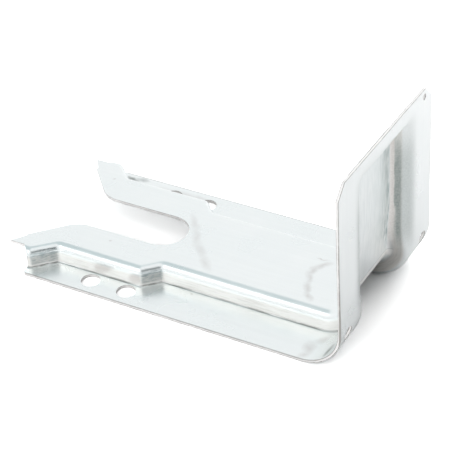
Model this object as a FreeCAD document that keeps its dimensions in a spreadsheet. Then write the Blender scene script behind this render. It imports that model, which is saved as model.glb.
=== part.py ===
import FreeCAD, Part
import Sketcher
import math
import os
import re

# Stamped sheet-metal bracket: one piece of plated steel sheet.
# Two flange strips lie flat and turn up into an upright end plate. Between them a raised channel
# runs from the forked end, round the bend and up the plate, where it is a recess in the outer face.
# Frame: +X along the length towards the plate, +Y across, +Z up. The origin is on the floor plane,
# in the middle of the overall length and width. Millimetres.

document = FreeCAD.newDocument("bracket_model")
sheet = document.addObject("Spreadsheet::Sheet", "sizes")

# Driving sizes. Distances called "from_tip" run along the length from the fork's pointed tips,
# "from_side" across from the nearer long edge, and "from_top" down from the plate's top edge.
driving_sizes = {
    "overall_length": 145.4,
    "overall_width": 76.0,
    "plate_height": 78.5,
    "metal_thickness": 1.2,
    "strip_bend_radius": 17.0,
    "deck_rise": 8.0,
    "flange_width": 18.0,
    "waist_flange_width": 11.8,
    "fork_flange_width": 3.7,
    "inner_jog_from_tip": 61.6,
    "outer_jog_from_tip": 18.6,
    "jog_corner_radius": 2.0,
    "recess_depth": 6.6,
    "recess_from_top": 7.3,
    "recess_corner_radius": 3.2,
    "knee_height": 37.0,
    "lean_setback": 2.1,
    "deck_bend_radius": 6.8,
    "shoulder_radius": 3.2,
    "foot_radius": 1.2,
    "slot_width": 19.5,
    "slot_depth": 60.4,
    "throat_from_tip": 18.0,
    "throat_radius": 12.0,
    "strip_end_from_tip": 9.1,
    "strip_end_width": 3.8,
    "tab_root_from_tip": 6.5,
    "tip_from_side": 6.8,
    "shear_step_from_tip": 3.9,
    "shear_step_from_side": 12.2,
    "shear_step_size": 0.5,
    "floor_hole_diameter": 7.5,
    "floor_hole_from_tip": 51.7,
    "floor_hole_pitch": 15.8,
    "floor_hole_from_side": 6.8,
    "corner_hole_diameter": 5.6,
    "corner_hole_height": 13.8,
    "corner_hole_from_side": 6.4,
    "top_hole_diameter": 2.4,
    "top_hole_from_top": 2.8,
    "top_hole_from_side": 6.4,
    "plate_chamfer": 5.0,
    "strip_corner_radius": 1.5,
}
for row, (alias, size) in enumerate(driving_sizes.items(), start=1):
    sheet.set(f"A{row}", str(size))
    sheet.setAlias(f"A{row}", alias)
document.recompute()

# How far a cutting outline runs past the metal that it trims, and how near counts as touching.
overrun = 5.0
nearness = 0.001

body = document.addObject("PartDesign::Body", "bracket")
body.Label = "bracket"


def value(expression):
    """The number that an expression over the sheet's sizes gives."""
    return float(sheet.evalExpression(expression))


def bind(item, path, expression):
    """Tie a property of an object to an expression over the sheet's sizes."""
    words = re.sub("[a-z_]+", lambda word: f"sizes.{word[0]}", expression)
    item.setExpression(path, words)


def flat_sketch(name, plane_role, offset="0"):
    """A sketch on one of the body's own origin planes, moved along the plane's normal."""
    sketch = body.newObject("Sketcher::SketchObject", name)
    plane = next(item for item in body.Origin.OriginFeatures if item.Role == plane_role)
    sketch.AttachmentSupport = [(plane, "")]
    sketch.MapMode = "FlatFace"
    bind(sketch, "AttachmentOffset.Base.z", offset)
    return sketch


def hold(sketch, constraint, expression):
    """Add a dimension to a sketch and tie it to an expression."""
    index = sketch.addConstraint(constraint)
    bind(sketch, f"Constraints[{index}]", expression)


def pin_point(sketch, geometry, vertex, across, along):
    """Hold one point of a sketch at the distances that two expressions give."""
    for kind, expression in (("DistanceX", across), ("DistanceY", along)):
        distance = value(expression)
        hold(sketch, Sketcher.Constraint(kind, -1, 1, geometry, vertex, distance), expression)


def rounded_corner(sketch, arriving, leaving, corner, place, before, after):
    """Join two lines of an outline by an arc tangent to both, of the corner's own radius."""
    radius = value(corner[2])
    to_centre = (before + after) - place * 2
    centre = place + to_centre.normalize() * math.hypot(radius, (before - place).Length)
    angles = [math.atan2(end.y - centre.y, end.x - centre.x) for end in (before, after)]
    counter_clockwise = math.sin(angles[1] - angles[0]) > 0
    if not counter_clockwise:
        angles.reverse()
    circle = Part.Circle(centre, FreeCAD.Vector(0, 0, 1), radius)
    arc = sketch.addGeometry(Part.ArcOfCircle(circle, *angles), False)
    first, last = (1, 2) if counter_clockwise else (2, 1)
    sketch.addConstraint(Sketcher.Constraint("Tangent", arriving, 2, arc, first))
    sketch.addConstraint(Sketcher.Constraint("Tangent", leaving, 1, arc, last))
    hold(sketch, Sketcher.Constraint("Radius", arc, radius), corner[2])
    point = sketch.addGeometry(Part.Point(place), True)
    sketch.addConstraint(Sketcher.Constraint("PointOnObject", point, 1, arriving))
    sketch.addConstraint(Sketcher.Constraint("PointOnObject", point, 1, leaving))
    pin_point(sketch, point, 1, corner[0], corner[1])


def closed_outline(sketch, corners):
    """Draw a closed outline. A corner is two expressions, with a third where it is rounded."""
    places = [FreeCAD.Vector(value(corner[0]), value(corner[1]), 0) for corner in corners]
    count = len(corners)
    befores, afters = [], []
    for number, corner in enumerate(corners):
        place = places[number]
        back = (places[number - 1] - place).normalize()
        forward = (places[(number + 1) % count] - place).normalize()
        setback = value(corner[2]) / math.tan(back.getAngle(forward) / 2) if corner[2:] else 0
        befores.append(place + back * setback)
        afters.append(place + forward * setback)
    lines = [
        sketch.addGeometry(Part.LineSegment(afters[number], befores[(number + 1) % count]), False)
        for number in range(count)
    ]
    for number, corner in enumerate(corners):
        arriving, leaving = lines[number - 1], lines[number]
        if corner[2:]:
            ends = (places[number], befores[number], afters[number])
            rounded_corner(sketch, arriving, leaving, corner, *ends)
            continue
        sketch.addConstraint(Sketcher.Constraint("Coincident", arriving, 2, leaving, 1))
        pin_point(sketch, leaving, 1, corner[0], corner[1])


def round_holes(sketch, diameter, centres):
    """Draw circles of one diameter about the given centres."""
    for across, along in centres:
        place = FreeCAD.Vector(value(across), value(along), 0)
        circle = Part.Circle(place, FreeCAD.Vector(0, 0, 1), value(diameter) / 2)
        geometry = sketch.addGeometry(circle, False)
        hold(sketch, Sketcher.Constraint("Diameter", geometry, value(diameter)), diameter)
        pin_point(sketch, geometry, 3, across, along)


def mirrored_across(corners):
    """An outline's corners on one side of the middle, followed by their twins on the other."""
    twins = [(corner[0], f"-({corner[1]})", *corner[2:]) for corner in reversed(corners)]
    return corners + twins


def add_feature(kind, name, **settings):
    """Add a feature to the body. A setting given as text in brackets is an expression."""
    before = body.Shape.Volume if body.Tip else 0
    feature = body.newObject(f"PartDesign::{kind}", name)
    for path, setting in settings.items():
        if isinstance(setting, tuple) and isinstance(setting[0], str):
            bind(feature, path, setting[0])
        else:
            setattr(feature, path, setting)
    document.recompute()
    failed = "Invalid" in feature.State or "Error" in feature.State
    if failed or feature.Shape.isNull() or not feature.Shape.isValid():
        raise RuntimeError(f"{name} failed")
    if abs(feature.Shape.Volume - before) < nearness:
        raise RuntimeError(f"{name} changed nothing")
    return feature


def edges_where(feature, end_test, middle_test):
    """The names of a feature's edges whose two ends and whose middle pass their tests."""
    names = []
    for number, edge in enumerate(feature.Shape.Edges, start=1):
        middle = edge.valueAt((edge.FirstParameter + edge.LastParameter) / 2)
        if all(end_test(vertex.Point) for vertex in edge.Vertexes) and middle_test(middle):
            names.append(f"Edge{number}")
    return (feature, names)


def near(first, second):
    return abs(first - second) < nearness


# The forming block is the solid that the sheet is wrapped round: it fills the inside of the L, and
# the raised channel is sunk into it. Its lower and outer skin is the sheet's upper and inner skin.
tip = "-overall_length / 2"
side = "overall_width / 2"
block_end = f"{tip} - {overrun}"
block_face = "overall_length / 2 - metal_thickness"
block_plan = flat_sketch("block_plan", "XY_Plane", "metal_thickness")
closed_outline(block_plan, mirrored_across([(block_end, side), (block_face, side)]))
block = add_feature("Pad", "forming_block", Profile=block_plan,
                    Length=("plate_height - metal_thickness",))
strip_bend_edge = edges_where(
    block,
    lambda end: near(end.x, value(block_face)) and near(end.z, value("metal_thickness")),
    lambda middle: near(middle.y, 0),
)
add_feature("Fillet", "strip_bend", Base=strip_bend_edge,
            Radius=("strip_bend_radius - metal_thickness",))

# The channel in section. The deck bends up into the recess floor, which leans inward as far as the
# knee and stands upright above it. Beside the plate the channel has this section between two walls.
wall = f"{side} - flange_width"
deck_level = "metal_thickness + deck_rise"
recess_top = "plate_height - recess_from_top"
recess_floor = "overall_length / 2 - metal_thickness - recess_depth"
section = flat_sketch("channel_section", "XZ_Plane")
closed_outline(section, [
    (f"{block_end} - {overrun}", f"-{overrun}"),
    (f"{block_end} - {overrun}", deck_level),
    (f"{recess_floor} - lean_setback", deck_level, "deck_bend_radius"),
    (recess_floor, "knee_height"),
    (recess_floor, recess_top),
    (f"overall_length / 2 + {overrun}", recess_top),
    (f"overall_length / 2 + {overrun}", f"-{overrun}"),
])
add_feature("Pocket", "channel", Profile=section, SideType="Symmetric", Length=(f"2 * ({wall})",))

# In plan the channel widens towards the fork at two jogs of 45 degrees.
waist_wall = f"{side} - waist_flange_width"
fork_wall = f"{side} - fork_flange_width"
inner_jog = f"{tip} + inner_jog_from_tip"
outer_jog = f"{tip} + outer_jog_from_tip"
deck_plan = flat_sketch("deck_plan", "XY_Plane", "metal_thickness")
closed_outline(deck_plan, mirrored_across([
    (f"{inner_jog} + {overrun}", wall),
    (inner_jog, wall, "jog_corner_radius"),
    (f"{inner_jog} - flange_width + waist_flange_width", waist_wall, "jog_corner_radius"),
    (outer_jog, waist_wall, "jog_corner_radius"),
    (f"{outer_jog} - waist_flange_width + fork_flange_width", fork_wall, "jog_corner_radius"),
    (f"{block_end} - {overrun}", fork_wall),
]))
cavity = add_feature("Pocket", "widened_deck", Profile=deck_plan, Reversed=True,
                     Length=("deck_rise",))

# The recess has rounded upper corners, and shoulders run along the channel's whole floor.
recess_corners = edges_where(
    cavity,
    lambda end: near(end.z, value(recess_top)) and near(abs(end.y), value(wall)),
    lambda middle: not near(middle.y, 0),
)
cavity = add_feature("Fillet", "recess_corners", Base=recess_corners,
                     Radius=("recess_corner_radius",))


def on_channel_floor(end):
    above = end.z > value(deck_level) - nearness
    return above and end.x < value(recess_floor) + nearness


shoulder_edges = edges_where(
    cavity,
    on_channel_floor,
    lambda middle: not near(middle.y, 0) or near(middle.z, value(recess_top)),
)
shoulders = add_feature("Fillet", "shoulders", Base=shoulder_edges, Radius=("shoulder_radius",))

# Small radii where the channel's walls meet the strips, their bend and the plate.
bend_axis_x = value("overall_length / 2 - strip_bend_radius")
bend_axis_z = value("strip_bend_radius")
inner_bend_radius = value("strip_bend_radius - metal_thickness")


def at_side(point):
    return near(abs(point.y), value(side))


def on_strips(point):
    if at_side(point):
        return False
    if point.x < bend_axis_x + nearness:
        return near(point.z, value("metal_thickness"))
    if point.z > bend_axis_z - nearness:
        return near(point.x, value(block_face))
    reach = math.hypot(point.x - bend_axis_x, point.z - bend_axis_z)
    return near(reach, inner_bend_radius)


foot_edges = edges_where(shoulders, on_strips, on_strips)
feet = add_feature("Fillet", "wall_feet", Base=foot_edges, Radius=("foot_radius",))

# The sheet: a skin of one thickness on the outside of the block, open at its four cut sides.
open_faces = []
for number, face in enumerate(feet.Shape.Faces, start=1):
    centre = face.CenterOfMass
    at_end = near(centre.z, value("plate_height")) or near(centre.x, value(block_end))
    if at_side(centre) or at_end:
        open_faces.append(f"Face{number}")
add_feature("Thickness", "sheet_metal", Base=(feet, open_faces), Value=("metal_thickness",),
            Reversed=False)

# The fork end: strips cut square, tabs tapering to pointed tips, a sheared step in each sloping
# edge, and the rounded throat of the slot.
strip_end = f"{tip} + strip_end_from_tip"
shear_step = f"{tip} + shear_step_from_tip"
step_across = f"{side} - shear_step_from_side"
slot_centre = f"{tip} + slot_depth - slot_width / 2"
fork_plan = flat_sketch("fork_plan", "XY_Plane")
closed_outline(fork_plan, mirrored_across([
    (f"{block_end} - {overrun}", f"{side} + {overrun}"),
    (strip_end, f"{side} + {overrun}"),
    (strip_end, f"{side} - strip_end_width"),
    (f"{tip} + tab_root_from_tip", f"{side} - tip_from_side"),
    (tip, f"{side} - tip_from_side"),
    (shear_step, step_across),
    (f"{shear_step} - shear_step_size", f"{step_across} - shear_step_size"),
    (f"{tip} + throat_from_tip", "slot_width / 2", "throat_radius"),
    (slot_centre, "slot_width / 2"),
]))
add_feature("Pocket", "fork_mouth", Profile=fork_plan, Reversed=True, Type="ThroughAll")

slot_plan = flat_sketch("slot_plan", "XY_Plane")
round_holes(slot_plan, "slot_width", [(slot_centre, "0")])
add_feature("Pocket", "slot_end", Profile=slot_plan, Reversed=True, Type="ThroughAll")

# Two fixing holes in each flange, one in each lower corner of the plate, and a small one near the
# plate's top on one side only.
floor_plan = flat_sketch("floor_hole_plan", "XY_Plane")
inner_hole = f"{tip} + floor_hole_from_tip"
round_holes(floor_plan, "floor_hole_diameter", [
    (along, f"{sign}({side} - floor_hole_from_side)")
    for along in (inner_hole, f"{inner_hole} - floor_hole_pitch")
    for sign in ("", "-")
])
add_feature("Pocket", "floor_holes", Profile=floor_plan, Reversed=True, Type="ThroughAll")

corner_plan = flat_sketch("corner_hole_plan", "YZ_Plane", "overall_length / 2")
round_holes(corner_plan, "corner_hole_diameter", [
    (f"{sign}({side} - corner_hole_from_side)", "corner_hole_height") for sign in ("", "-")
])
add_feature("Pocket", "corner_holes", Profile=corner_plan, Length=("strip_bend_radius",))

top_plan = flat_sketch("top_hole_plan", "YZ_Plane", "overall_length / 2")
round_holes(top_plan, "top_hole_diameter", [
    (f"{side} - top_hole_from_side", "plate_height - top_hole_from_top"),
])
top_hole = add_feature("Pocket", "top_hole", Profile=top_plan, Length=("strip_bend_radius",))

# Clipped corners on the plate, and slightly rounded ones on the flange strips.
plate_corners = edges_where(
    top_hole,
    lambda end: at_side(end) and near(end.z, value("plate_height")),
    at_side,
)
clipped = add_feature("Chamfer", "plate_corners", Base=plate_corners, Size=("plate_chamfer",))
strip_corners = edges_where(
    clipped,
    lambda end: at_side(end) and near(end.x, value(strip_end)),
    at_side,
)
add_feature("Fillet", "strip_corners", Base=strip_corners, Radius=("strip_corner_radius",))

if len(body.Shape.Solids) != 1:
    raise RuntimeError("the bracket isn't one solid")
os.makedirs("parts", exist_ok=True)
body.Shape.exportStep(f"parts/{body.Label}.step")
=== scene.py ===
import math

import bmesh
import bpy
from mathutils import Matrix, Vector, noise


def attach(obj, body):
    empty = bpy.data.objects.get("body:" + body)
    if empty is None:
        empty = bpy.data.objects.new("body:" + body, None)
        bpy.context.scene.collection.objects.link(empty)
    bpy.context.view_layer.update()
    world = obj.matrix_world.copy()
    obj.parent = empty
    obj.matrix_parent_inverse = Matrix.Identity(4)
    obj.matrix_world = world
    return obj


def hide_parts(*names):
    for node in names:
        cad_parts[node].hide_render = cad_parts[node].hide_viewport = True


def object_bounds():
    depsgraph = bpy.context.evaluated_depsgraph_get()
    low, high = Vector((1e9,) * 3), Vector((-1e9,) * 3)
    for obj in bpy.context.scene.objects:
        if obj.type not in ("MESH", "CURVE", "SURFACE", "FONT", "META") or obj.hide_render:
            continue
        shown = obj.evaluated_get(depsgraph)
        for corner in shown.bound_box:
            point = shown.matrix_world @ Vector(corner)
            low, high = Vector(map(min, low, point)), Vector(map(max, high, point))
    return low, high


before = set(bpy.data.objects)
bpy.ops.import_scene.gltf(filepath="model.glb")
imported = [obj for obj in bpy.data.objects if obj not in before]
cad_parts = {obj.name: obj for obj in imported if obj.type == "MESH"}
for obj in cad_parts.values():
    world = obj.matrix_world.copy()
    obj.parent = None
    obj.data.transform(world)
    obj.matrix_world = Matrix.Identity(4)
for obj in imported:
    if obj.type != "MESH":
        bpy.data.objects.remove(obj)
cad_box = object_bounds()
scene = bpy.context.scene
scene.view_settings.view_transform = "Standard"


# The folded sheet
# One strip of steel 1.2 mm thick, sheared, punched, drawn into a channel and turned up at one end
# in a press. Its form is the frame's own: the flats are joined into whole faces and every sheared
# rim gets a small rolled-over edge, so that bends shade as drawn metal and rims catch the light.
weld_distance = 2e-6
flat_angle = math.radians(0.2)
skin_break = math.radians(50)

press_form = bmesh.new()
press_form.from_mesh(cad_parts["bracket"].data)
bmesh.ops.remove_doubles(press_form, verts=press_form.verts, dist=weld_distance)
bmesh.ops.dissolve_limit(
    press_form,
    angle_limit=flat_angle,
    verts=press_form.verts,
    edges=press_form.edges,
)
bmesh.ops.recalc_face_normals(press_form, faces=press_form.faces)


def smooth_patch(seed):
    """All the faces that can be reached from one face without crossing a sheared rim."""
    found = {seed}
    waiting = [seed]
    while waiting:
        face = waiting.pop()
        for edge in face.edges:
            if len(edge.link_faces) != 2 or edge.calc_face_angle() > skin_break:
                continue
            for neighbour in edge.link_faces:
                if neighbour not in found:
                    found.add(neighbour)
                    waiting.append(neighbour)
    return found


# The two largest patches are the sheet's skins, the outer one first, and the rest are its rims.
# Each point keeps how near it is to the outer skin in "through": 1 on it, 0 on the upper skin.
patches = []
unvisited = set(press_form.faces)
while unvisited:
    patch = smooth_patch(next(iter(unvisited)))
    unvisited -= patch
    patches.append(patch)
patches.sort(key=lambda patch: sum(face.calc_area() for face in patch), reverse=True)
skins = patches[0] | patches[1]
for face in press_form.faces:
    face.smooth = True
    face.material_index = 0 if face in skins else 1
through = press_form.verts.layers.float.new("through")
for face in patches[0]:
    for vert in face.verts:
        vert[through] = 1.0

# A grid of cuts gives the flats enough points to take the small warps of real sheet: 2 mm apart
# across the strip, 1 mm at the channel's sides, 3 mm along the strip and 2 mm up the plate.
cut_snap = 1e-5
for axis, start, end, step in (
    (1, -36, 36, 2),
    (1, 13, 27, 2),
    (1, -27, -13, 2),
    (0, -69, 72, 3),
    (2, 12, 78, 2),
):
    across_axis = Vector([float(axis == other) for other in range(3)])
    for millimetres in range(start, end + 1, step):
        bmesh.ops.bisect_plane(
            press_form,
            geom=press_form.verts[:] + press_form.edges[:] + press_form.faces[:],
            dist=cut_snap,
            plane_co=across_axis * millimetres / 1000,
            plane_no=across_axis,
        )
rim_weight = press_form.edges.layers.float.new("bevel_weight_edge")
for edge in press_form.edges:
    if len({face.material_index for face in edge.link_faces}) == 2:
        edge[rim_weight] = 1.0

# Each point also keeps its place on the strip before it was folded: how far along, how far
# across, and how far in from the outer skin. The rolled grain and the press marks follow these.
bend_radius = 0.017
bend_x = cad_box[1].x - bend_radius
bend_z = bend_radius
bend_length = bend_radius * math.pi / 2
strip_place = press_form.verts.layers.float_vector.new("strip_place")
for vert in press_form.verts:
    x, y, z = vert.co
    past_x = x - bend_x
    under_z = bend_z - z
    if past_x <= 0:
        vert[strip_place] = (x, y, z)
    elif under_z <= 0:
        vert[strip_place] = (bend_x + bend_length - under_z, y, bend_radius - past_x)
    else:
        along = bend_x + bend_radius * math.atan2(past_x, under_z)
        vert[strip_place] = (along, y, bend_radius - math.hypot(past_x, under_z))


def eased(value, start, end):
    """0 up to start, 1 from end, and smooth between them. It falls where start is past end."""
    share = min(max((value - start) / (end - start), 0.0), 1.0)
    return share * share * (3 - 2 * share)


# On the plate the press leaves the channel's sides sloping and their rims softly rolled in. The
# flats carry waves a few centimetres long and up to 0.3 mm deep. All of it goes inward, so the
# outer size stays.
recess_depth = 0.0066
recess_half_width = 0.0188
recess_starts = (0.010, 0.026)
recess_ends = (0.0755, 0.069)
wall_slope = 0.0022
roll_depth = 0.0013
roll_reach = 0.0075
warp_depth = 0.0003
plate_warp_full = 0.040
deck_warp_full = 0.030
deck_underside = 0.007

# The outer skin of the recess is also marked. Its sides are darker, with a ragged foot about 5 mm
# deep. A painted highlight runs along that foot, and its floor gets painted shade towards its
# corners. The jogs' faces, which are those turned along the strip, get painted shade as well. Each
# pair is where a mark starts and where it is full, in metres across, inward or up.
foot_depth = 0.0050
foot_wander = 0.0004
foot_blur = 0.0004
foot_highlight_strip = (0.0175, 0.0183)
darkening_across = (0.0264, 0.0204)
darkening_inward = (0.0012, 0.0026)
darkening_below = (0.070, 0.055)
floor_shade = (0.0080, 0.0160)
floor_corner = (0.0140, 0.0172)
floor_end = (0.0192, 0.0184)
jogs_from_x = -0.064
jog_turned = (0.30, 0.55)
jog_foot = (0.0018, 0.0032)
jog_head = (0.0084, 0.0070)
jog_weight = 1.6
marks_and_painted_light = press_form.verts.layers.float_vector.new("marks_and_painted_light")
press_form.normal_update()
for vert in press_form.verts:
    x, y, z = vert.co
    depth = vert[strip_place].z
    off_middle = abs(y)
    deep = min(max(depth / recess_depth, 0.0), 1.0)
    drawn = eased(z, *recess_starts) * eased(z, *recess_ends)
    if x > bend_x and vert[through] > 0.5:
        foot = foot_depth + foot_wander * noise.noise(Vector((y * 100, 0.0, z * 220)))
        on_side = eased(depth, foot, foot - foot_blur)
        # The strip at the foot of the sides gets a painted highlight.
        foot_highlight = eased(off_middle, *foot_highlight_strip) * (1 - on_side)
        side_darkening = (
            on_side
            * eased(off_middle, *darkening_across)
            * (0.65 + 0.35 * eased(depth, *darkening_inward))
        )
        # The floor gets painted shade, strongest towards its corners.
        shaded = (
            0.3
            + 0.7 * eased(off_middle, *floor_shade)
            + 0.9 * eased(off_middle, *floor_corner)
        )
        shaded *= eased(off_middle, *floor_end) * (1 - foot_highlight) * (1 - on_side)
        drawn_down = drawn * (0.4 + 0.6 * eased(z, *darkening_below))
        vert[marks_and_painted_light] = Vector((side_darkening * drawn_down, foot_highlight * drawn, shaded * drawn))
    elif jogs_from_x < x < bend_x:
        # The jogs' faces get painted shade.
        on_jog = (
            eased(abs(vert.normal.x), *jog_turned)
            * eased(depth, *jog_foot)
            * eased(depth, *jog_head)
        )
        vert[marks_and_painted_light] = Vector((0.0, 0.0, jog_weight * on_jog))
    rim_share = (recess_half_width + roll_reach - off_middle) / roll_reach
    rolled = min(max(rim_share, 0.0), 1.0) ** 2
    sloped = wall_slope * deep * min(off_middle / recess_half_width, 1.0)
    warp = 0.5 + 0.5 * noise.noise(Vector((x * 30, y * 45, z * 30)))
    if x > bend_x:
        vert.co.x -= drawn * roll_depth * rolled * (1 - deep)
        vert.co.y -= math.copysign(drawn * sloped, y)
        vert.co.x -= warp_depth * warp * eased(z, bend_z, plate_warp_full)
    elif depth > deck_underside:
        vert.co.z -= warp_depth * warp * eased(x, bend_x, deck_warp_full)

sheet_mesh = bpy.data.meshes.new("bracket_sheet")
press_form.to_mesh(sheet_mesh)
press_form.free()
sheet = bpy.data.objects.new("bracket_sheet", sheet_mesh)
scene.collection.objects.link(sheet)

rim_radius = 0.00016
rolled_rim = sheet.modifiers.new("rolled_rim", "BEVEL")
rolled_rim.limit_method = "WEIGHT"
rolled_rim.width = rim_radius
rolled_rim.segments = 2
even_shade = sheet.modifiers.new("even_shade", "WEIGHTED_NORMAL")
even_shade.mode = "FACE_AREA"
even_shade.weight = 100
even_shade.keep_sharp = True


def linear(code):
    """A colour written as sRGB hex, turned linear."""
    parts = [int(code[digit : digit + 2], 16) / 255 for digit in (1, 3, 5)]
    return [c / 12.92 if c <= 0.04045 else ((c + 0.055) / 1.055) ** 2.4 for c in parts] + [1.0]


def add_node(tree, kind, inputs=None, **settings):
    """Adds one node. An input that is given as a socket is linked, and any other is set."""
    node = tree.nodes.new(kind)
    for name, setting in settings.items():
        setattr(node, name, setting)
    for name, given in (inputs or {}).items():
        if isinstance(given, bpy.types.NodeSocket):
            tree.links.new(given, node.inputs[name])
        else:
            node.inputs[name].default_value = given
    return node


def bare_material(name):
    """An empty material, and its tree."""
    material = bpy.data.materials.new(name)
    material.use_nodes = True
    material.node_tree.nodes.clear()
    return material, material.node_tree


# Bright zinc: an electroplated skin a few micrometres thick over cold-rolled sheet. It reflects
# like a soft, faintly blue mirror. The rolled grain draws reflections out along the strip, the
# press leaves the drawn walls scuffed and a little wavy, and handling leaves pale brown smudges.
zinc, plating = bare_material("bright_zinc_plating")
place = add_node(plating, "ShaderNodeTexCoord").outputs["Object"]
strip = add_node(plating, "ShaderNodeAttribute", attribute_name="strip_place").outputs["Vector"]
strip_axes = add_node(plating, "ShaderNodeSeparateXYZ", {0: strip})
inward = strip_axes.outputs["Z"]

# Clouds in the plating are about 20 mm across. They change its tint and its roughness a little.
clouds = add_node(
    plating, "ShaderNodeTexNoise", {"Vector": place, "Scale": 1 / 0.020, "Detail": 4.0}
).outputs["Fac"]
cloud_tint = add_node(
    plating,
    "ShaderNodeMix",
    {0: clouds, 6: linear("#E9F0F1"), 7: linear("#F7FAFA")},
    data_type="RGBA",
).outputs[2]
cloud_roughness = add_node(
    plating,
    "ShaderNodeMapRange",
    {"Value": clouds, "From Min": 0.3, "From Max": 0.7, "To Min": 0.24, "To Max": 0.34},
).outputs[0]

# The rolled grain's lines are finer than a tenth of a millimetre. They are drawn 0.9 mm apart, so
# that they show.
grain_place = add_node(
    plating,
    "ShaderNodeVectorMath",
    {0: strip, 1: (1 / 0.040, 1 / 0.0009, 1 / 0.0009)},
    operation="MULTIPLY",
).outputs[0]
grain = add_node(
    plating, "ShaderNodeTexNoise", {"Vector": grain_place, "Scale": 1.0, "Detail": 2.0}
).outputs["Fac"]
grain_shade = add_node(
    plating,
    "ShaderNodeMapRange",
    {"Value": grain, "From Min": 0.3, "From Max": 0.7, "To Min": 0.98, "To Max": 1.0},
).outputs[0]
zinc_colour = add_node(
    plating, "ShaderNodeVectorMath", {0: cloud_tint, "Scale": grain_shade}, operation="SCALE"
).outputs[0]
zinc_roughness = cloud_roughness

# Blots: centre (3), half length and half width in millimetres, turn in degrees, and weight. The
# smudges on the deck near the plate make an open ring where something round was pressed down. The
# dark blots take a darker tint. Their outlines wander by up to 1.6 mm, and each blot lies on one
# skin only.
smudges = [
    (43.4, 5.2, 9.2, 5.4, 1.9, 50, 0.9),
    (41.7, 1.2, 9.2, 4.6, 2.2, 85, 0.9),
    (42.6, -3.4, 9.2, 5.6, 1.7, 112, 0.8),
    (45.0, -9.2, 9.2, 5.6, 1.9, 115, 0.9),
    (47.4, -13.4, 9.2, 3.6, 2.0, 128, 0.9),
    (-13.5, 9.0, 9.2, 8.4, 2.2, 128, 0.6),
    (-8.3, 1.2, 9.2, 9.0, 2.2, 122, 0.6),
    (-2.6, -5.6, 9.2, 8.0, 2.2, 130, 0.6),
    (2.8, -11.6, 9.2, 7.0, 2.4, 130, 0.6),
    (42.0, 9.1, 9.2, 3.0, 0.6, 6, 1.0),
    (-37.0, -15.0, 9.2, 0.9, 0.7, 0, 1.0),
    (-58.2, 22.0, 9.2, 0.9, 0.8, 0, 1.0),
    (18.5, 22.6, 9.2, 3.6, 1.0, 4, 0.8),
    (56.7, -31.5, 1.3, 5.2, 3.2, 96, 0.8),
    (56.4, -35.6, 1.2, 3.4, 2.4, 70, 0.7),
    (59.4, -26.0, 1.6, 4.6, 2.6, 30, 0.7),
    (2.3, -22.4, 1.2, 0.8, 0.6, 0, 1.0),
    (-32.0, 33.4, 1.2, 16.0, 2.6, 0, 0.8),
]
dark_blots = [
    (-58.6, 34.8, 1.6, 4.6, 1.7, -5, 1.0),
    (-54.0, 35.6, 1.2, 5.0, 1.6, 0, 0.4),
    (65.4, -32.9, 4.4, 5.4, 2.2, 76, 0.7),
]
blot_half_depth = 0.0012
blot_wander = 0.0032
blot_roughness = 0.25
ragged = add_node(
    plating, "ShaderNodeTexNoise", {"Vector": place, "Scale": 1 / 0.0035, "Detail": 3.0}
).outputs["Color"]
ragged_shift = add_node(
    plating, "ShaderNodeVectorMath", {0: ragged, 1: (0.5, 0.5, 0.5)}, operation="SUBTRACT"
).outputs[0]
ragged_place = add_node(
    plating,
    "ShaderNodeVectorMath",
    {0: ragged_shift, 1: (blot_wander, blot_wander, 0.0), 2: place},
    operation="MULTIPLY_ADD",
).outputs[0]
for blots, blot_tint, blot_most in ((smudges, "#C6C1BF", 0.45), (dark_blots, "#7E8381", 0.9)):
    strongest = 0.0
    for x, y, z, half_length, half_width, degrees, weight in blots:
        local = add_node(
            plating,
            "ShaderNodeMapping",
            {
                "Vector": ragged_place,
                "Location": (x / 1000, y / 1000, z / 1000),
                "Rotation": (0, 0, math.radians(degrees)),
                "Scale": (half_length / 1000, half_width / 1000, blot_half_depth),
            },
            vector_type="TEXTURE",
        ).outputs[0]
        blot = add_node(
            plating, "ShaderNodeTexGradient", {0: local}, gradient_type="SPHERICAL"
        ).outputs["Fac"]
        weighed = add_node(
            plating, "ShaderNodeMath", {0: blot, 1: weight}, operation="MULTIPLY"
        ).outputs[0]
        strongest = add_node(
            plating, "ShaderNodeMath", {0: strongest, 1: weighed}, operation="MAXIMUM"
        ).outputs[0]
    blot_share = add_node(
        plating, "ShaderNodeMapRange", {"Value": strongest, "From Max": 0.8, "To Max": blot_most}
    ).outputs[0]
    zinc_colour = add_node(
        plating,
        "ShaderNodeMix",
        {0: blot_share, 6: zinc_colour, 7: linear(blot_tint)},
        data_type="RGBA",
    ).outputs[2]
    zinc_roughness = add_node(
        plating,
        "ShaderNodeMath",
        {0: blot_share, 1: blot_roughness, 2: zinc_roughness},
        operation="MULTIPLY_ADD",
    ).outputs[0]

# The channel's drawn walls are rubbed to a warm white between the foot and the shoulder, and
# scuffed along the strip with a dull, fibrous grey. The scuffs are a tenth of a millimetre apart,
# and are drawn at 0.5 mm so that they show.
wall_most = 0.9
wall_roughness = 0.13
foot_rise = add_node(
    plating, "ShaderNodeMapRange", {"Value": inward, "From Min": 0.0013, "From Max": 0.0022}
).outputs[0]
shoulder_fall = add_node(
    plating, "ShaderNodeMapRange", {"Value": inward, "From Min": 0.0066, "From Max": 0.0052}
).outputs[0]
on_wall = add_node(
    plating, "ShaderNodeMath", {0: foot_rise, 1: shoulder_fall}, operation="MULTIPLY"
).outputs[0]
scuff_place = add_node(
    plating,
    "ShaderNodeVectorMath",
    {0: strip, 1: (1 / 0.008, 1 / 0.0016, 1 / 0.0005)},
    operation="MULTIPLY",
).outputs[0]
scuffs = add_node(
    plating, "ShaderNodeTexNoise", {"Vector": scuff_place, "Scale": 1.0, "Detail": 3.0}
).outputs["Fac"]
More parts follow.
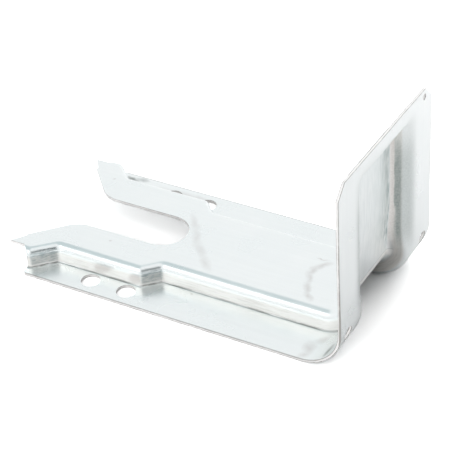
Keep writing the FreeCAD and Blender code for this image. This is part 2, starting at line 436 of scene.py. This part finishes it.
scuff_weight = add_node(
    plating,
    "ShaderNodeMapRange",
    {"Value": scuffs, "From Min": 0.45, "From Max": 0.7, "To Max": 0.3},
).outputs[0]
wall_rubbed = add_node(
    plating, "ShaderNodeMath", {0: on_wall, 1: wall_most}, operation="MULTIPLY"
).outputs[0]
wall_scuffed = add_node(
    plating, "ShaderNodeMath", {0: scuff_weight, 1: on_wall}, operation="MULTIPLY"
).outputs[0]
for wall_share, wall_tint in ((wall_rubbed, "#FEFCF8"), (wall_scuffed, "#C9C7C1")):
    zinc_colour = add_node(
        plating,
        "ShaderNodeMix",
        {0: wall_share, 6: zinc_colour, 7: linear(wall_tint)},
        data_type="RGBA",
    ).outputs[2]
zinc_roughness = add_node(
    plating,
    "ShaderNodeMath",
    {0: on_wall, 1: wall_roughness, 2: zinc_roughness},
    operation="MULTIPLY_ADD",
).outputs[0]

# On the upper skin the foot of the wall is a tight crease, which gets a thin, broken line of
# painted shade.
outer_skin = add_node(plating, "ShaderNodeAttribute", attribute_name="through").outputs["Fac"]
upper_skin = add_node(
    plating, "ShaderNodeMath", {0: outer_skin, 1: -1.0, 2: 1.0}, operation="MULTIPLY_ADD"
).outputs[0]
past_foot = add_node(
    plating, "ShaderNodeMapRange", {"Value": inward, "From Min": 0.00122, "From Max": 0.00135}
).outputs[0]
before_wall = add_node(
    plating, "ShaderNodeMapRange", {"Value": inward, "From Min": 0.0020, "From Max": 0.0016}
).outputs[0]
shade_breakup = add_node(
    plating,
    "ShaderNodeMapRange",
    {"Value": scuffs, "From Min": 0.3, "From Max": 0.6, "To Min": 0.3, "To Max": 0.9},
).outputs[0]
crease_shade = past_foot
for factor in (before_wall, upper_skin, shade_breakup):
    crease_shade = add_node(
        plating, "ShaderNodeMath", {0: crease_shade, 1: factor}, operation="MULTIPLY"
    ).outputs[0]
zinc_colour = add_node(
    plating,
    "ShaderNodeMix",
    {0: crease_shade, 6: zinc_colour, 7: linear("#7C7E7A")},
    data_type="RGBA",
).outputs[2]

# The marks: Z is painted shade on the recess's floor and on the jogs' faces, streaked with bluish
# draw lines. Y is a painted highlight in a dull, pinkish white along the strip at the foot of the
# recess's sides. X is the sides themselves, darker and peppered with fine specks. The specks are
# drawn 0.6 mm across so that they show.
marks = add_node(
    plating,
    "ShaderNodeSeparateXYZ",
    {0: add_node(plating, "ShaderNodeAttribute", attribute_name="marks_and_painted_light").outputs["Vector"]},
)
specks = add_node(
    plating, "ShaderNodeTexNoise", {"Vector": place, "Scale": 1 / 0.0006, "Detail": 2.0}
).outputs["Fac"]
for mark, pattern, (mark_least, mark_most), mark_tint, mark_roughness in (
    ("Z", scuffs, (0.05, 0.50), "#A3B2B4", 0.15),
    ("Y", specks, (0.65, 1.00), "#E2E0DD", 0.25),
    ("X", specks, (0.80, 1.00), "#A3ACAA", 0.15),
):
    pattern_weight = add_node(
        plating,
        "ShaderNodeMapRange",
        {
            "Value": pattern,
            "From Min": 0.35,
            "From Max": 0.65,
            "To Min": mark_least,
            "To Max": mark_most,
        },
    ).outputs[0]
    mark_share = add_node(
        plating,
        "ShaderNodeMath",
        {0: marks.outputs[mark], 1: pattern_weight},
        operation="MULTIPLY",
    ).outputs[0]
    zinc_colour = add_node(
        plating,
        "ShaderNodeMix",
        {0: mark_share, 6: zinc_colour, 7: linear(mark_tint)},
        data_type="RGBA",
    ).outputs[2]
    zinc_roughness = add_node(
        plating,
        "ShaderNodeMath",
        {0: mark_share, 1: mark_roughness, 2: zinc_roughness},
        operation="MULTIPLY_ADD",
    ).outputs[0]

# The scuffs break the upper skin's walls up into a half matt white. The jogs' faces, which carry
# painted shade, stay metal.
matt_most = 0.4
off_jogs = add_node(
    plating,
    "ShaderNodeMapRange",
    {"Value": marks.outputs["Z"], "To Min": 1.0, "To Max": 0.0},
).outputs[0]
wall_matt = on_wall
for factor in (upper_skin, off_jogs):
    wall_matt = add_node(
        plating, "ShaderNodeMath", {0: wall_matt, 1: factor}, operation="MULTIPLY"
    ).outputs[0]
metal_share = add_node(
    plating, "ShaderNodeMath", {0: wall_matt, 1: -matt_most, 2: 1.0}, operation="MULTIPLY_ADD"
).outputs[0]

# The shears leave a grey burr along the strip's two long edges, full over their last 0.2 mm.
across = add_node(
    plating, "ShaderNodeMath", {0: strip_axes.outputs["Y"]}, operation="ABSOLUTE"
).outputs[0]
burr_line = add_node(
    plating,
    "ShaderNodeMapRange",
    {"Value": across, "From Min": 0.0375, "From Max": 0.0378, "To Max": 0.55},
).outputs[0]
zinc_colour = add_node(
    plating,
    "ShaderNodeMix",
    {0: burr_line, 6: zinc_colour, 7: linear("#8C8B88")},
    data_type="RGBA",
).outputs[2]

# Where the channel turns the bend, its outer skin gets a painted highlight, a pale, matt band,
# with a dark line beside it. Each runs across the strip from one place along it to another.
band_fade = 0.0003
deep_in = add_node(
    plating, "ShaderNodeMapRange", {"Value": inward, "From Min": 0.0055, "From Max": 0.0062}
).outputs[0]
deep_outside = add_node(
    plating, "ShaderNodeMath", {0: deep_in, 1: outer_skin}, operation="MULTIPLY"
).outputs[0]
for (start, end), band_tint, band_most, band_roughness in (
    ((0.0735, 0.0795), "#F4F4F2", 0.8, 0.3),
    ((0.0797, 0.0803), "#6E7371", 0.7, 0.0),
):
    entered = add_node(
        plating,
        "ShaderNodeMapRange",
        {
            "Value": strip_axes.outputs["X"],
            "From Min": start,
            "From Max": start + band_fade,
            "To Max": band_most,
        },
    ).outputs[0]
    left = add_node(
        plating,
        "ShaderNodeMapRange",
        {"Value": strip_axes.outputs["X"], "From Min": end, "From Max": end - band_fade},
    ).outputs[0]
    bend_highlight_and_line = entered
    for factor in (left, deep_outside):
        bend_highlight_and_line = add_node(
            plating, "ShaderNodeMath", {0: bend_highlight_and_line, 1: factor}, operation="MULTIPLY"
        ).outputs[0]
    zinc_colour = add_node(
        plating,
        "ShaderNodeMix",
        {0: bend_highlight_and_line, 6: zinc_colour, 7: linear(band_tint)},
        data_type="RGBA",
    ).outputs[2]
    zinc_roughness = add_node(
        plating,
        "ShaderNodeMath",
        {0: bend_highlight_and_line, 1: band_roughness, 2: zinc_roughness},
        operation="MULTIPLY_ADD",
    ).outputs[0]

# The outer skin is a shade greyer and less blue than the upper one.
zinc_colour = add_node(
    plating,
    "ShaderNodeMix",
    {0: outer_skin, 6: zinc_colour, 7: linear("#FAF9F9")},
    data_type="RGBA",
    blend_type="MULTIPLY",
).outputs[2]

# The sheet isn't truly flat after the press: its waves are about 15 mm long and a tenth of a
# millimetre deep. The grain's lines are a few micrometres deep.
waves = add_node(
    plating, "ShaderNodeTexNoise", {"Vector": place, "Scale": 1 / 0.015, "Detail": 2.0}
).outputs["Fac"]
wavy = add_node(
    plating, "ShaderNodeBump", {"Height": waves, "Strength": 1.0, "Distance": 0.0003}
).outputs[0]
grained = add_node(
    plating,
    "ShaderNodeBump",
    {"Height": grain, "Strength": 1.0, "Distance": 0.000012, "Normal": wavy},
).outputs[0]
zinc_shader = add_node(
    plating,
    "ShaderNodeBsdfPrincipled",
    {
        "Base Color": zinc_colour,
        "Metallic": metal_share,
        "Roughness": zinc_roughness,
        "Normal": grained,
    },
)
add_node(plating, "ShaderNodeOutputMaterial", {"Surface": zinc_shader.outputs["BSDF"]})

# Sheared steel: the rims show bare cut steel, duller, warmer and rougher than the plating. The
# break is too torn to mirror anything, so it is half metallic. A darker, ragged burr runs along
# both of its edges, in patches about 3 mm long.
sheared, shear = bare_material("sheared_steel_rim")
rim_place = add_node(shear, "ShaderNodeTexCoord").outputs["Object"]
rim_depth = add_node(shear, "ShaderNodeAttribute", attribute_name="through").outputs["Fac"]
rim_break = add_node(
    shear, "ShaderNodeTexNoise", {"Vector": rim_place, "Scale": 1 / 0.003, "Detail": 3.0}
).outputs["Fac"]
from_middle = add_node(
    shear, "ShaderNodeMath", {0: rim_depth, 1: 0.5}, operation="SUBTRACT"
).outputs[0]
to_skin = add_node(shear, "ShaderNodeMath", {0: from_middle}, operation="ABSOLUTE").outputs[0]
ragged_skin = add_node(
    shear, "ShaderNodeMath", {0: rim_break, 1: 0.3, 2: to_skin}, operation="MULTIPLY_ADD"
).outputs[0]
burr = add_node(
    shear, "ShaderNodeMapRange", {"Value": ragged_skin, "From Min": 0.40, "From Max": 0.55}
).outputs[0]
rim_colour = add_node(
    shear,
    "ShaderNodeMix",
    {0: burr, 6: linear("#FBFAF9"), 7: linear("#A8A5A2")},
    data_type="RGBA",
).outputs[2]
sheared_shader = add_node(
    shear,
    "ShaderNodeBsdfPrincipled",
    {"Base Color": rim_colour, "Metallic": 0.5, "Roughness": 0.6},
)
add_node(shear, "ShaderNodeOutputMaterial", {"Surface": sheared_shader.outputs["BSDF"]})

sheet.data.materials.append(zinc)
sheet.data.materials.append(sheared)
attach(sheet, "root")
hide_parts("bracket")


# The table
# A plain white sweep of paper that the bracket stands on. It isn't part of the object. It is light
# grey to the lamps, which keeps the bracket's shadow on it, and white to the camera. The metal
# mirrors it nearly white, and whiter still where one bend is seen in another.
sweep_reach = 1.0
paper_grey = 0.8
white_in_metal = 0.34
white_seen_twice = 0.6
white_in_view = 1.45
square_corners = ((-1, -1), (1, -1), (1, 1), (-1, 1))
floor_mesh = bpy.data.meshes.new("floor")
floor_mesh.from_pydata(
    [(x * sweep_reach, y * sweep_reach, 0) for x, y in square_corners],
    [],
    [(0, 1, 2, 3)],
)
floor = bpy.data.objects.new("floor", floor_mesh)
scene.collection.objects.link(floor)
paper, paper_tree = bare_material("white_paper_sweep")
paper_rays = add_node(paper_tree, "ShaderNodeLightPath")
unscattered = add_node(
    paper_tree,
    "ShaderNodeMath",
    {0: paper_rays.outputs["Diffuse Depth"], 1: 0.5},
    operation="LESS_THAN",
).outputs[0]
seen_in_metal = add_node(
    paper_tree,
    "ShaderNodeMath",
    {0: unscattered, 1: paper_rays.outputs["Is Glossy Ray"]},
    operation="MULTIPLY",
).outputs[0]
past_one_mirror = add_node(
    paper_tree,
    "ShaderNodeMath",
    {0: paper_rays.outputs["Glossy Depth"], 1: 1.5},
    operation="GREATER_THAN",
).outputs[0]
seen_twice = add_node(
    paper_tree, "ShaderNodeMath", {0: past_one_mirror, 1: seen_in_metal}, operation="MULTIPLY"
).outputs[0]
whiteness = paper_grey
for seen, lift in (
    (seen_in_metal, white_in_metal),
    (seen_twice, white_seen_twice),
    (paper_rays.outputs["Is Camera Ray"], white_in_view),
):
    whiteness = add_node(
        paper_tree, "ShaderNodeMath", {0: seen, 1: lift, 2: whiteness}, operation="MULTIPLY_ADD"
    ).outputs[0]
paper_body = add_node(paper_tree, "ShaderNodeBsdfDiffuse", {"Color": whiteness})
add_node(paper_tree, "ShaderNodeOutputMaterial", {"Surface": paper_body.outputs[0]})
floor_mesh.materials.append(paper)


# The light
# A white surround and four soft boxes: front left, overhead, back and front. The last three light
# the paper and stay out of the metal's reflections. The facets turned to the right need a dark
# card there, and the shoulders a pale one overhead. Both cards show only in reflections.
surround_dim = 0.04
studio = bpy.data.worlds.new("white_surround")
scene.world = studio
studio.use_nodes = True
surround = studio.node_tree
surround.nodes.clear()
surround_rays = add_node(surround, "ShaderNodeLightPath")
white_for = surround_rays.outputs["Is Camera Ray"]
for ray in ("Is Glossy Ray", "Is Transmission Ray"):
    white_for = add_node(
        surround,
        "ShaderNodeMath",
        {0: white_for, 1: surround_rays.outputs[ray]},
        operation="MAXIMUM",
    ).outputs[0]
before_paper = add_node(
    surround,
    "ShaderNodeMath",
    {0: surround_rays.outputs["Diffuse Depth"], 1: 0.5},
    operation="LESS_THAN",
).outputs[0]
white_share = add_node(
    surround, "ShaderNodeMath", {0: white_for, 1: before_paper}, operation="MULTIPLY"
).outputs[0]
strength = add_node(
    surround,
    "ShaderNodeMapRange",
    {"Value": white_share, "To Min": surround_dim, "To Max": 1.0},
).outputs[0]
sky = add_node(
    surround, "ShaderNodeBackground", {"Color": linear("#FFFFFF"), "Strength": strength}
)
add_node(surround, "ShaderNodeOutputWorld", {"Surface": sky.outputs[0]})


def aimed(spot, target):
    """A matrix at spot that looks at target, level with the floor."""
    back = (Vector(spot) - Vector(target)).normalized()
    side = Vector((0, 0, 1)).cross(back).normalized()
    facing = Matrix((side, back.cross(side), back)).transposed().to_4x4()
    return Matrix.Translation(spot) @ facing


# Each box's place, width, height and watts, and whether the metal mirrors it.
middle = Vector((0.0, 0.0, 0.02))
soft_boxes = {
    "front_left_box": ((-0.48, -0.98, 0.86), 0.55, 0.6, 1.2, True),
    "top_box": ((-0.05, 0.05, 1.1), 1.9, 1.8, 6.8, False),
    "back_box": ((0.05, 1.10, 0.60), 1.6, 0.9, 16.0, False),
    "front_box": ((-0.35, -1.10, 0.50), 1.4, 0.8, 10.6, False),
}
for name, (spot, width, height, watts, mirrored) in soft_boxes.items():
    lamp = bpy.data.lights.new(name, "AREA")
    lamp.shape = "RECTANGLE"
    lamp.size = width
    lamp.size_y = height
    lamp.energy = watts
    holder = bpy.data.objects.new(name, lamp)
    holder.matrix_world = aimed(spot, middle)
    holder.visible_glossy = mirrored
    scene.collection.objects.link(holder)

# Each card's place, width, height and shade.
cards = {
    "dark_card": ((0.70, -0.42, 0.58), 0.6, 0.5, "#5A6163"),
    "ceiling_card": ((-0.45, 0.0, 1.0), 1.0, 0.9, "#CDD8DA"),
}
for name, (spot, width, height, shade) in cards.items():
    card_mesh = bpy.data.meshes.new(name)
    card_mesh.from_pydata(
        [(x * width / 2, y * height / 2, 0) for x, y in square_corners],
        [],
        [(0, 1, 2, 3)],
    )
    card_mesh.transform(aimed(spot, middle))
    card = bpy.data.objects.new(name, card_mesh)
    scene.collection.objects.link(card)
    card.visible_camera = False
    card.visible_diffuse = False
    card.visible_shadow = False
    card.visible_transmission = False
    felt, felt_tree = bare_material(name + "_felt")
    felt_shade = add_node(
        felt_tree, "ShaderNodeEmission", {"Color": linear(shade), "Strength": 1.0}
    )
    add_node(felt_tree, "ShaderNodeOutputMaterial", {"Surface": felt_shade.outputs[0]})
    card_mesh.materials.append(felt)


# The camera
# A long lens at the photograph's angle: 36 degrees down, 31 degrees round from the near side and
# a little rolled. Its focal length is 1795 pixels of a picture that is 460 pixels wide.
aim = Vector((0.009002, -0.002313, 0.020))
azimuth = 0.54016
elevation = 0.62197
roll = -0.059356
distance = 0.674067
focal_pixels = 1795.307
picture_pixels = 460
toward = Vector(
    (
        math.sin(azimuth) * math.cos(elevation),
        -math.cos(azimuth) * math.cos(elevation),
        math.sin(elevation),
    )
)
level = (-toward).cross(Vector((0, 0, 1))).normalized()
upright = level.cross(-toward)
rolled_right = level * math.cos(roll) + upright * math.sin(roll)
rolled_up = upright * math.cos(roll) - level * math.sin(roll)
lens = bpy.data.cameras.new("camera")
lens.sensor_width = 36.0
lens.lens = focal_pixels / picture_pixels * lens.sensor_width
lens.clip_start = 0.01
lens.clip_end = 20.0
camera = bpy.data.objects.new("camera", lens)
camera_turn = Matrix((rolled_right, rolled_up, toward)).transposed().to_4x4()
camera.matrix_world = Matrix.Translation(aim + toward * distance) @ camera_turn
scene.collection.objects.link(camera)
scene.camera = camera
